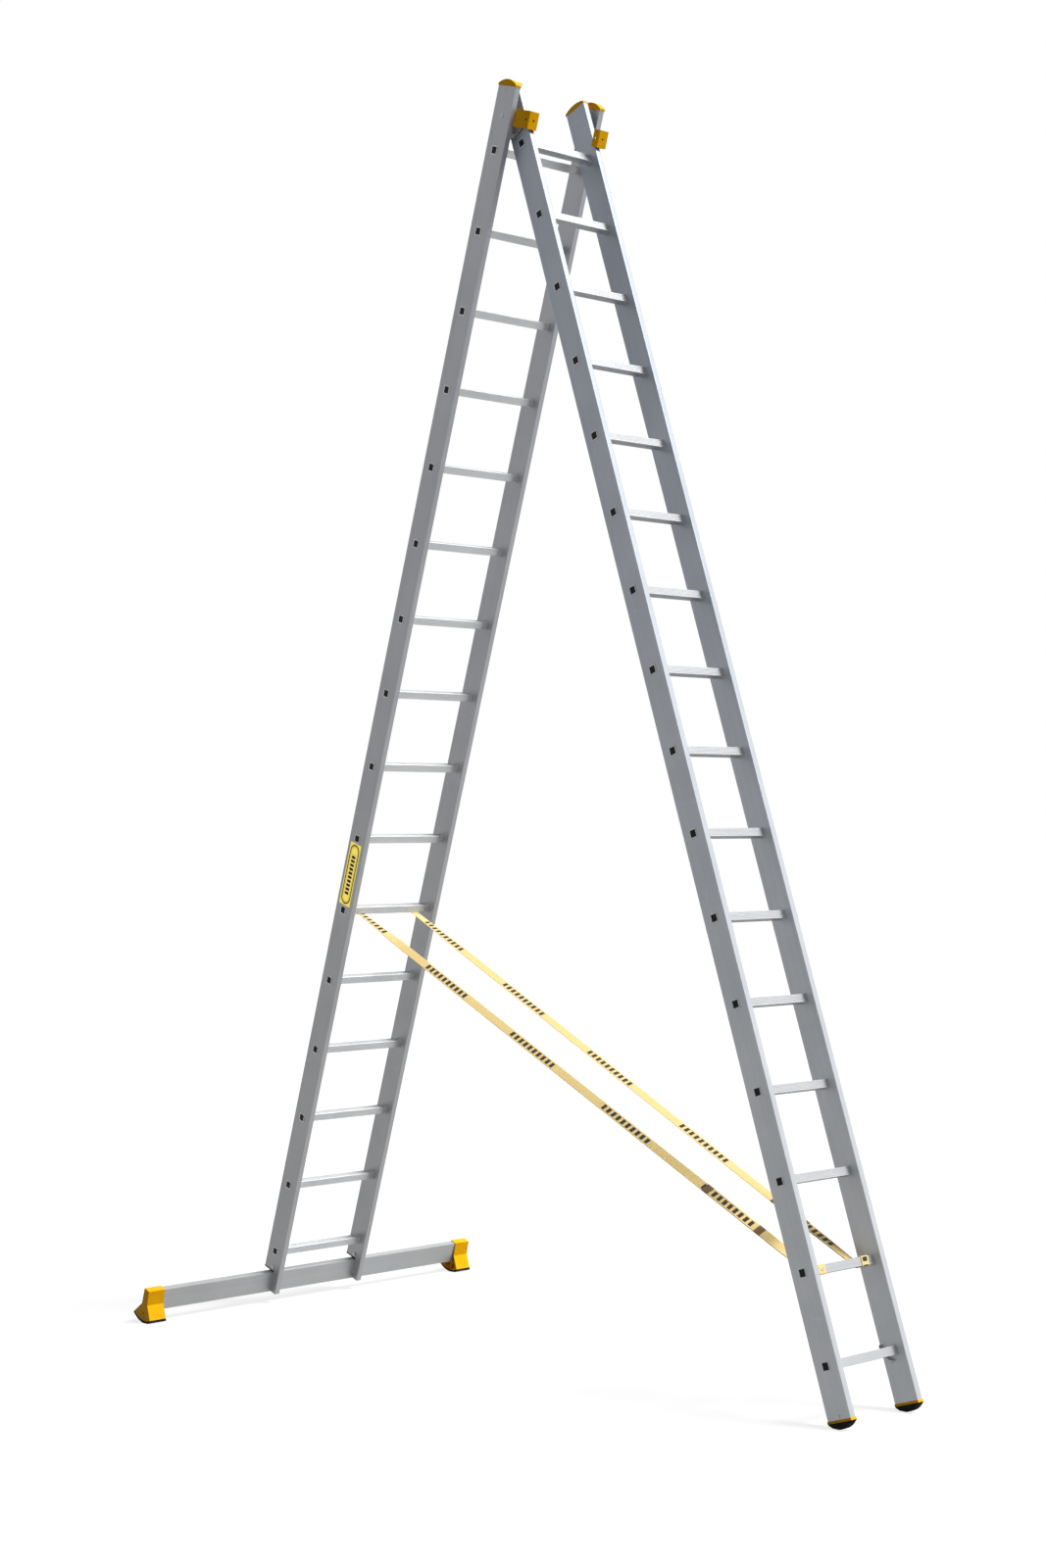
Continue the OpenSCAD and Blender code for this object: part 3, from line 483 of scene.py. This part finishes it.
# Which finish each solid of the frame takes
def finishFor(node, slotName):
    section = "wide" if node in frame["record"]["behaviour"]["bodies"]["wide_section"] else "narrow"
    choices = {
        "stile_aluminium": aluminium[section + "Stile"],
        "rung_aluminium": aluminium[section + "Rung"],
        "bar_aluminium": aluminium["bar"],
        "rivet_aluminium": metal["rivet"],
        "zinc_steel": metal["zinc"],
        "amber_plastic": plastic["amber"],
        "black_plastic": plastic["black"],
        "black_rubber": plastic["rubber"],
        "label_film": labelFilm,
    }
    return choices.get(slotName)


for name, solid in nodes.items():
    for place in solid.material_slots:
        chosen = finishFor(name, place.material.name.split(".")[0])
        if chosen:
            place.material = chosen
print("finishes given to the frame")


def newPiece(name, points, faces, material):
    mesh = bpy.data.meshes.new(name)
    mesh.from_pydata(points, [], faces)
    mesh.materials.append(material)
    piece = bpy.data.objects.new(name, mesh)
    bpy.context.scene.collection.objects.link(piece)
    return piece


# A closed surface from rings of points, with the webbing's own lengths and breadths kept in a UV map.
# The underside lies one unit over in the map, so that the print stays on the upper face.
def skin(name, rings, lengths, breadths, material):
    count = len(rings[0])
    points = [p for ring in rings for p in ring]
    last = (len(rings) - 1) * count
    faces = []
    for a in range(0, last, count):
        b = a + count
        faces += [[a + k, a + (k + 1) % count, b + (k + 1) % count, b + k] for k in range(count)]
    faces += [list(range(count))[::-1], [last + k for k in range(count)]]
    piece = newPiece(name, points, faces, material)
    layer = piece.data.uv_layers.new(name="webbing")
    for face in piece.data.polygons:
        face.use_smooth = len(face.vertices) == 4
        under = face.use_smooth and (face.vertices[0] % count) >= count // 2
        for loop in face.loop_indices:
            vertex = piece.data.loops[loop].vertex_index
            breadth = breadths[vertex % count] + (1.0 if under else 0.0)
            layer.data[loop].uv = (lengths[vertex // count], breadth)
    return piece


# Straps: yellow webbing from an upper rung of the wide section to a low rung of the narrow one
strapLook = {"wideRung": "wide_rung_11", "narrowRung": "narrow_rung_15", "width": 0.032, "thick": 0.002,
             "clear": 0.0001, "bend": 0.0024, "step": 0.012, "hemUp": 0.009, "hemInset": 0.002,
             "tail": 0.042,  # from the rung back to where the run leaves its band
             "rooted": 0.12, "held": 0.024,  # lengths of its ends at the wide and at the narrow section
             "patchAt": 0.252, "patchLength": 0.028,
             "profilePoints": 28, "sideSquareness": 0.35, "faceSquareness": 0.3}
strapSides = {
    "Left": {"wideY": -0.127, "narrowY": -0.095, "twist": 32.0, "twistFrom": 0.01, "twistBy": 0.12,
             "untwist": 0.05, "endPatchAt": 0.495, "runPrint": -0.082, "bandPrint": None},
    "Right": {"wideY": 0.126, "narrowY": 0.105, "twist": 17.0, "twistFrom": 0.01, "twistBy": 0.14,
              "untwist": 0.1, "endPatchAt": 0.38, "runPrint": 0.08, "bandPrint": 0.052},
}
webbingLook = {"thread": (0.86, 0.65, 0.27, 1), "shade": (0.82, 0.61, 0.245, 1),
               "selvedge": (0.88, 0.67, 0.29, 1), "ink": (0.008, 0.007, 0.006, 1),
               "pitch": 0.0017, "depth": 0.00002, "rough": (0.8, 0.72), "inkRough": (0.78, 0.6),
               "period": 0.503, "run": 0.24, "dash": 0.014, "every": 0.0245,
               "halfInk": 0.0106, "ragged": 0.0016}


# Runs of plain dashes with slightly ragged edges, from printStart along the webbing
def dashPrint(tree, flat, weave, look, printStart):
    parts = split(tree, flat)
    ragged = calc(tree, "MULTIPLY_ADD", weave["Wander"], look["ragged"], -look["ragged"] / 2)
    along = calc(tree, "ADD", calc(tree, "SUBTRACT", parts["X"], printStart), ragged)
    inRun = calc(tree, "FLOORED_MODULO", along, look["period"])
    inDash = calc(tree, "FLOORED_MODULO", inRun, look["every"])
    aside = calc(tree, "ADD", calc(tree, "ABSOLUTE", parts["Y"]), ragged)
    printed = calc(tree, "MULTIPLY", calc(tree, "LESS_THAN", inRun, look["run"]),
                   calc(tree, "LESS_THAN", inDash, look["dash"]))
    printed = calc(tree, "MULTIPLY", printed, calc(tree, "LESS_THAN", aside, look["halfInk"]))
    return calc(tree, "MULTIPLY", printed, ramp(tree, weave["Height"], 0.0, 0.25, 0.8, 1.0))


# printStart is None where the webbing is plain
def makeWebbing(name, look, printStart):
    material, tree, shader = newMaterial(name, Specular_IOR_Level=0.25, Sheen_Weight=0.25)
    flat = webbingPlace(tree)
    weave = useGroup(tree, webbingWeave, {"Place": flat, "Pitch": look["pitch"],
                                          "Half Width": strapLook["width"] / 2})
    # darker colour where the weave is low: painted shade in its hollows, with random wander
    colour = mixColour(tree, ramp(tree, weave["Shade"], 0.2, 0.8), look["shade"], look["thread"])
    colour = mixColour(tree, calc(tree, "MULTIPLY", weave["Selvedge"], 0.6), colour, look["selvedge"])
    if printStart is None:
        rough = ramp(tree, weave["Height"], 0.0, 1.0, *look["rough"])
    else:
        printed = dashPrint(tree, flat, weave, look, printStart)
        colour = mixColour(tree, printed, colour, look["ink"])
        rough = ramp(tree, printed, 0.0, 1.0, *look["inkRough"])
    feed(tree, shader, {"Base Color": colour, "Roughness": rough})
    setBump(tree, shader, weave["Height"], look["depth"])
    return material


# Dense brown stitching. A patch is a little wider and thicker than the layers it joins, and its rows swell
patchLook = {"thread": (0.21, 0.12, 0.05, 1), "shade": (0.13, 0.07, 0.03, 1), "pitch": 0.0016,
             "halfWidth": 0.0165, "rough": (0.8, 0.55), "depth": 0.0002,
             "overWidth": 0.0004, "overThick": 0.0009, "rows": 0.06, "pointsPerRow": 6}


def makePatchThread(look):
    material, tree, shader = newMaterial("patchThread", Specular_IOR_Level=0.3, Sheen_Weight=0.2)
    weave = useGroup(tree, webbingWeave, {"Place": webbingPlace(tree), "Pitch": look["pitch"],
                                          "Half Width": look["halfWidth"]})
    # darker colour where the weave is low: painted shade in its hollows, with random wander
    feed(tree, shader, {"Base Color": mixColour(tree, weave["Shade"], look["shade"], look["thread"]),
                        "Roughness": ramp(tree, weave["Height"], 0.0, 1.0, *look["rough"])})
    setBump(tree, shader, weave["Height"], look["depth"])
    return material


patchThread = makePatchThread(patchLook)


# A point this far in depth and up the stiles from the centre of a rung, at this place across the ladder
def nearRung(section, rung, depth, rise, y):
    point = rung + section["front"] * depth + section["up"] * rise
    return Vector((point.x, y, point.z))


# Rounds the corners of a route of points and spaces points along it.
# A bend takes at most nearlyHalf of each side of its corner, and has a part for each turnPerPart radians.
nearlyHalf = 0.48
turnPerPart = 0.3


def softRoute(corners, bend, step):
    route = [corners[0]]
    for before, corner, after in zip(corners, corners[1:], corners[2:]):
        back, on = (before - corner).normalized(), (after - corner).normalized()
        angle = math.pi - back.angle(on)
        reach = min(bend * math.tan(angle / 2), (before - corner).length * nearlyHalf,
                    (after - corner).length * nearlyHalf)
        begin, end = corner + back * reach, corner + on * reach
        parts = max(2, math.ceil(angle / turnPerPart))
        for i in range(parts + 1):
            t = i / parts
            route.append(begin * (1 - t) ** 2 + corner * 2 * t * (1 - t) + end * t * t)
    route.append(corners[-1])
    spaced = [route[0]]
    for a, b in zip(route, route[1:]):
        parts = max(1, math.ceil((b - a).length / step))
        spaced += [a.lerp(b, (i + 1) / parts) for i in range(parts)]
    return spaced


# Outline of a flat webbing with rounded edges
def webbingProfile(width, thick, look):
    points = []
    for k in range(look["profilePoints"]):
        angle = math.tau * (k + 0.5) / look["profilePoints"]
        c, s = math.cos(angle), math.sin(angle)
        points.append((math.copysign(abs(c) ** look["sideSquareness"], c) * width / 2,
                       math.copysign(abs(s) ** look["faceSquareness"], s) * thick / 2))
    return points


# A flat webbing along a route: sideAt gives the direction across it at a point, and swell its thickness there
def webbing(name, route, sideAt, width, thick, material, startLength=0.0, swell=None):
    profile = webbingProfile(width, thick, strapLook)
    rings, lengths, length = [], [], startLength
    for i, point in enumerate(route):
        if i:
            length += (point - route[i - 1]).length
        tangent = (route[min(i + 1, len(route) - 1)] - route[max(i - 1, 0)]).normalized()
        side = sideAt(point)
        side = (side - tangent * side.dot(tangent)).normalized()
        face = tangent.cross(side)
        grow = swell(length) if swell else 1.0
        rings.append([point + side * a + face * (u * grow) for a, u in profile])
        lengths.append(length)
    return skin(name, rings, lengths, [a for a, u in profile], material)


# Where two lines in the depth and height plane cross
def meet(p, alongP, q, alongQ):
    cross = alongP[0] * alongQ[1] - alongP[1] * alongQ[0]
    t = ((q[0] - p[0]) * alongQ[1] - (q[1] - p[1]) * alongQ[0]) / cross
    return (p[0] + alongP[0] * t, p[1] + alongP[1] * t)


def easeInOut(t):
    t = min(1.0, max(0.0, t))
    return t * t * (3 - 2 * t)


def threadRows(length):
    return 1.0 + patchLook["rows"] * math.cos(math.tau * length / patchLook["pitch"])


def makeStrap(label, side, look):
    upperRung, lowerRung = middle(look["wideRung"]), middle(look["narrowRung"])
    off = rungHalf + look["clear"] + look["thick"] / 2
    start = nearRung(wide, upperRung, rungHalf - look["hemInset"], -off, side["wideY"])
    corner = nearRung(narrow, lowerRung, -off, -off, side["narrowY"])
    run = corner - start
    line = run.normalized()
    flatRun = Vector((run.x, 0, run.z)).normalized()
    upFace = flatRun.cross(across)
    layer = look["thick"] + look["clear"]
    tailStart = corner - line * look["tail"]
    patches = [corner - line * (at + look["patchLength"] / 2) for at in (look["patchAt"], side["endPatchAt"])]
    lapStart = patches[1]
    bandPrint = None if side["bandPrint"] is None else run.length + side["bandPrint"]
    runWebbing = makeWebbing("strapWebbing" + label, webbingLook, side["runPrint"])
    bandWebbing = makeWebbing("bandWebbing" + label, webbingLook, bandPrint)

    def twistAt(point):
        t = (point - start).dot(run) / run.length_squared
        opened = easeInOut((t - side["twistFrom"]) / side["twistBy"])
        closed = easeInOut((1 - look["tail"] / run.length - t) / side["untwist"])
        return Matrix.Rotation(math.radians(side["twist"]) * opened * closed, 3, line)

    def sideAt(point):
        return twistAt(point) @ across

    def flatSide(point):
        return across

    def lifted(point, layers):
        # a point raised by so many layers, square to the twisted face
        return point + (twistAt(point) @ upFace) * layer * layers

    # upper end: turned up behind the rung, flat under it, then the free run, which rises onto its own lap
    hem = [nearRung(wide, upperRung, -off, look["hemUp"], side["wideY"]),
           nearRung(wide, upperRung, -off, -off, side["wideY"]), start, tailStart]
    hemLength = sum((b - a).length for a, b in zip(hem, hem[1:3]))
    route = softRoute(hem, look["bend"], look["step"])
    route = [lifted(p, easeInOut((p - lapStart).dot(line) / look["patchLength"])) for p in route]
    runPiece = webbing("strapRun" + label, route, sideAt, look["width"], look["thick"], runWebbing,
                       -hemLength)

    # lap under the run: back from the rung to the second patch
    lap = softRoute([lapStart, tailStart], look["bend"], look["step"])
    lapPiece = webbing("strapLap" + label, lap, sideAt, look["width"], look["thick"], bandWebbing, -1.0)

    # loop round the lower rung, in its section's own plane: up its back, over it, down its front and under it
    flow = (flatRun.dot(narrow["front"]), flatRun.dot(narrow["up"]))
    face = (upFace.dot(narrow["front"]), upFace.dot(narrow["up"]))
    upBack = meet((-off + face[0] * layer, -off + face[1] * layer), flow, (-off, 0), (0, 1))
    loop = [nearRung(narrow, lowerRung, depth, rise, side["narrowY"])
            for depth, rise in (upBack, (-off, off), (off, off), (off, -off), (-off, -off))]
    band = softRoute([lifted(tailStart, 1)] + loop + [tailStart], look["bend"], look["step"] / 2)
    bandPiece = webbing("strapBand" + label, band, flatSide, look["width"], look["thick"], bandWebbing,
                        run.length - look["tail"])

    # stitched patches over both layers, their thread rows raised
    pieces = [runPiece, lapPiece]
    patchWidth = look["width"] + patchLook["overWidth"]
    patchThick = look["thick"] * 2 + patchLook["overThick"]
    patchStep = patchLook["pitch"] / patchLook["pointsPerRow"]
    for name, begin in zip(("strapPatch", "strapEndPatch"), patches):
        patchRoute = softRoute([begin, begin + line * look["patchLength"]], look["bend"], patchStep)
        patchRoute = [lifted(p, 0.5) for p in patchRoute]
        pieces.append(webbing(name + label, patchRoute, sideAt, patchWidth, patchThick, patchThread,
                              swell=threadRows))

    for piece in pieces:
        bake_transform(piece)
    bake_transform(bandPiece)
    return pieces + [bandPiece]


strapPieces = []
for label, side in strapSides.items():
    strapPieces += makeStrap(label, side, strapLook)
for piece in strapPieces:
    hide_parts("opening_straps")
print("straps made:", len(strapPieces), "pieces")

# Hollow rivets that pin the straps to their rungs: a domed rim round a hole
eyeletLook = {"rim": 0.0062, "hole": 0.0022, "rise": 0.0014, "lip": 0.0002, "sunk": 0.0006, "above": 0.0001,
              "steps": 40}


def makeEyelet(name, centre, outward, body, look):
    outward = outward.normalized()
    first = outward.cross(across).normalized()
    second = outward.cross(first)
    rim, hole, rise = look["rim"], look["hole"], look["rise"]
    # radius and height, from the foot of the rim over the dome and down into the hole
    profile = [(rim, -look["sunk"]), (rim, 0.0), (rim * 0.96, rise * 0.35), (rim * 0.82, rise * 0.75),
               (rim * 0.62, rise), (rim * 0.46, rise * 0.9), (hole, rise * 0.35),
               (hole * 0.9, -look["lip"]), (hole * 0.9, -look["sunk"])]
    count = len(profile)
    points, faces = [], []
    for i in range(look["steps"]):
        angle = math.tau * i / look["steps"]
        ray = first * math.cos(angle) + second * math.sin(angle)
        points += [centre + ray * r + outward * h for r, h in profile]
        a, b = i * count, ((i + 1) % look["steps"]) * count
        faces += [[a + k, b + k, b + (k + 1) % count, a + (k + 1) % count] for k in range(count)]
    piece = newPiece(name, points, faces, metal["zinc"])
    for face in piece.data.polygons:
        face.use_smooth = True
    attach(piece, body)
    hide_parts("opening_straps")


proud = rungHalf + strapLook["clear"] + strapLook["thick"] + eyeletLook["above"]
upperRung, lowerRung = middle(strapLook["wideRung"]), middle(strapLook["narrowRung"])
for label, side in strapSides.items():
    under = nearRung(wide, upperRung, 0.0, -proud, side["wideY"])
    makeEyelet("strapRivetUpper" + label, under, -wide["up"], "wide_section", eyeletLook)
inFront = nearRung(narrow, lowerRung, proud, 0.0, strapSides["Left"]["narrowY"])
makeEyelet("strapRivetLowerLeft", inFront, narrow["front"], "narrow_section", eyeletLook)
under = nearRung(narrow, lowerRung, 0.0, -proud, strapSides["Right"]["narrowY"])
makeEyelet("strapRivetLowerRight", under, -narrow["up"], "narrow_section", eyeletLook)
print("eyelets made")


# Plain soft studio light
studio = {"keyFrom": (0.52, 0.32, 0.80), "keyStrength": 4.8, "keyAngle": 24.0,
          "ambient": 0.12, "ambientColour": (0.96, 0.98, 1.0, 1), "white": (1, 1, 1, 1),
          "floorTone": 0.2, "floorGlow": 0.82, "floorSize": 60.0}


# 1 where a camera, glossy or transmission ray meets the surface, and 0 for the light it gives other things
def seenDirectly(tree):
    path = tree.nodes.new("ShaderNodeLightPath").outputs
    seen = calc(tree, "MAXIMUM", path["Is Camera Ray"], path["Is Glossy Ray"])
    return calc(tree, "MAXIMUM", seen, path["Is Transmission Ray"])


def makeKey(look):
    lamp = bpy.data.lights.new("key", "SUN")
    lamp.energy, lamp.angle = look["keyStrength"], math.radians(look["keyAngle"])
    key = bpy.data.objects.new("key", lamp)
    key.rotation_euler = Vector(look["keyFrom"]).to_track_quat("Z", "Y").to_euler()
    bpy.context.scene.collection.objects.link(key)


def makeBackground(look):
    world = bpy.data.worlds.new("studio")
    world.use_nodes = True
    tree = world.node_tree
    tree.nodes.clear()
    ambient = {"Color": look["ambientColour"], "Strength": look["ambient"]}
    soft = addNode(tree, "ShaderNodeBackground", ambient)
    white = addNode(tree, "ShaderNodeBackground", {"Color": look["white"], "Strength": 1.0})
    mixed = addNode(tree, "ShaderNodeMixShader",
                    {0: seenDirectly(tree), 1: soft.outputs[0], 2: white.outputs[0]})
    addNode(tree, "ShaderNodeOutputWorld", {"Surface": mixed.outputs[0]})
    bpy.context.scene.world = world


def makeFloor(look):
    half, tone = look["floorSize"] / 2, look["floorTone"]
    material = bpy.data.materials.new("paleFloor")
    material.use_nodes = True
    tree = material.node_tree
    tree.nodes.clear()
    matt = addNode(tree, "ShaderNodeBsdfDiffuse", {"Color": (tone, tone, tone, 1)})
    glow = calc(tree, "MULTIPLY", seenDirectly(tree), look["floorGlow"])
    lit = addNode(tree, "ShaderNodeEmission", {"Color": look["white"], "Strength": glow})
    both = addNode(tree, "ShaderNodeAddShader", {0: matt.outputs[0], 1: lit.outputs[0]})
    addNode(tree, "ShaderNodeOutputMaterial", {"Surface": both.outputs[0]})
    corners = [(-half, -half, 0), (half, -half, 0), (half, half, 0), (-half, half, 0)]
    floor = newPiece("floor", corners, [(0, 1, 2, 3)], material)


makeKey(studio)
makeBackground(studio)
makeFloor(studio)
print("studio made")
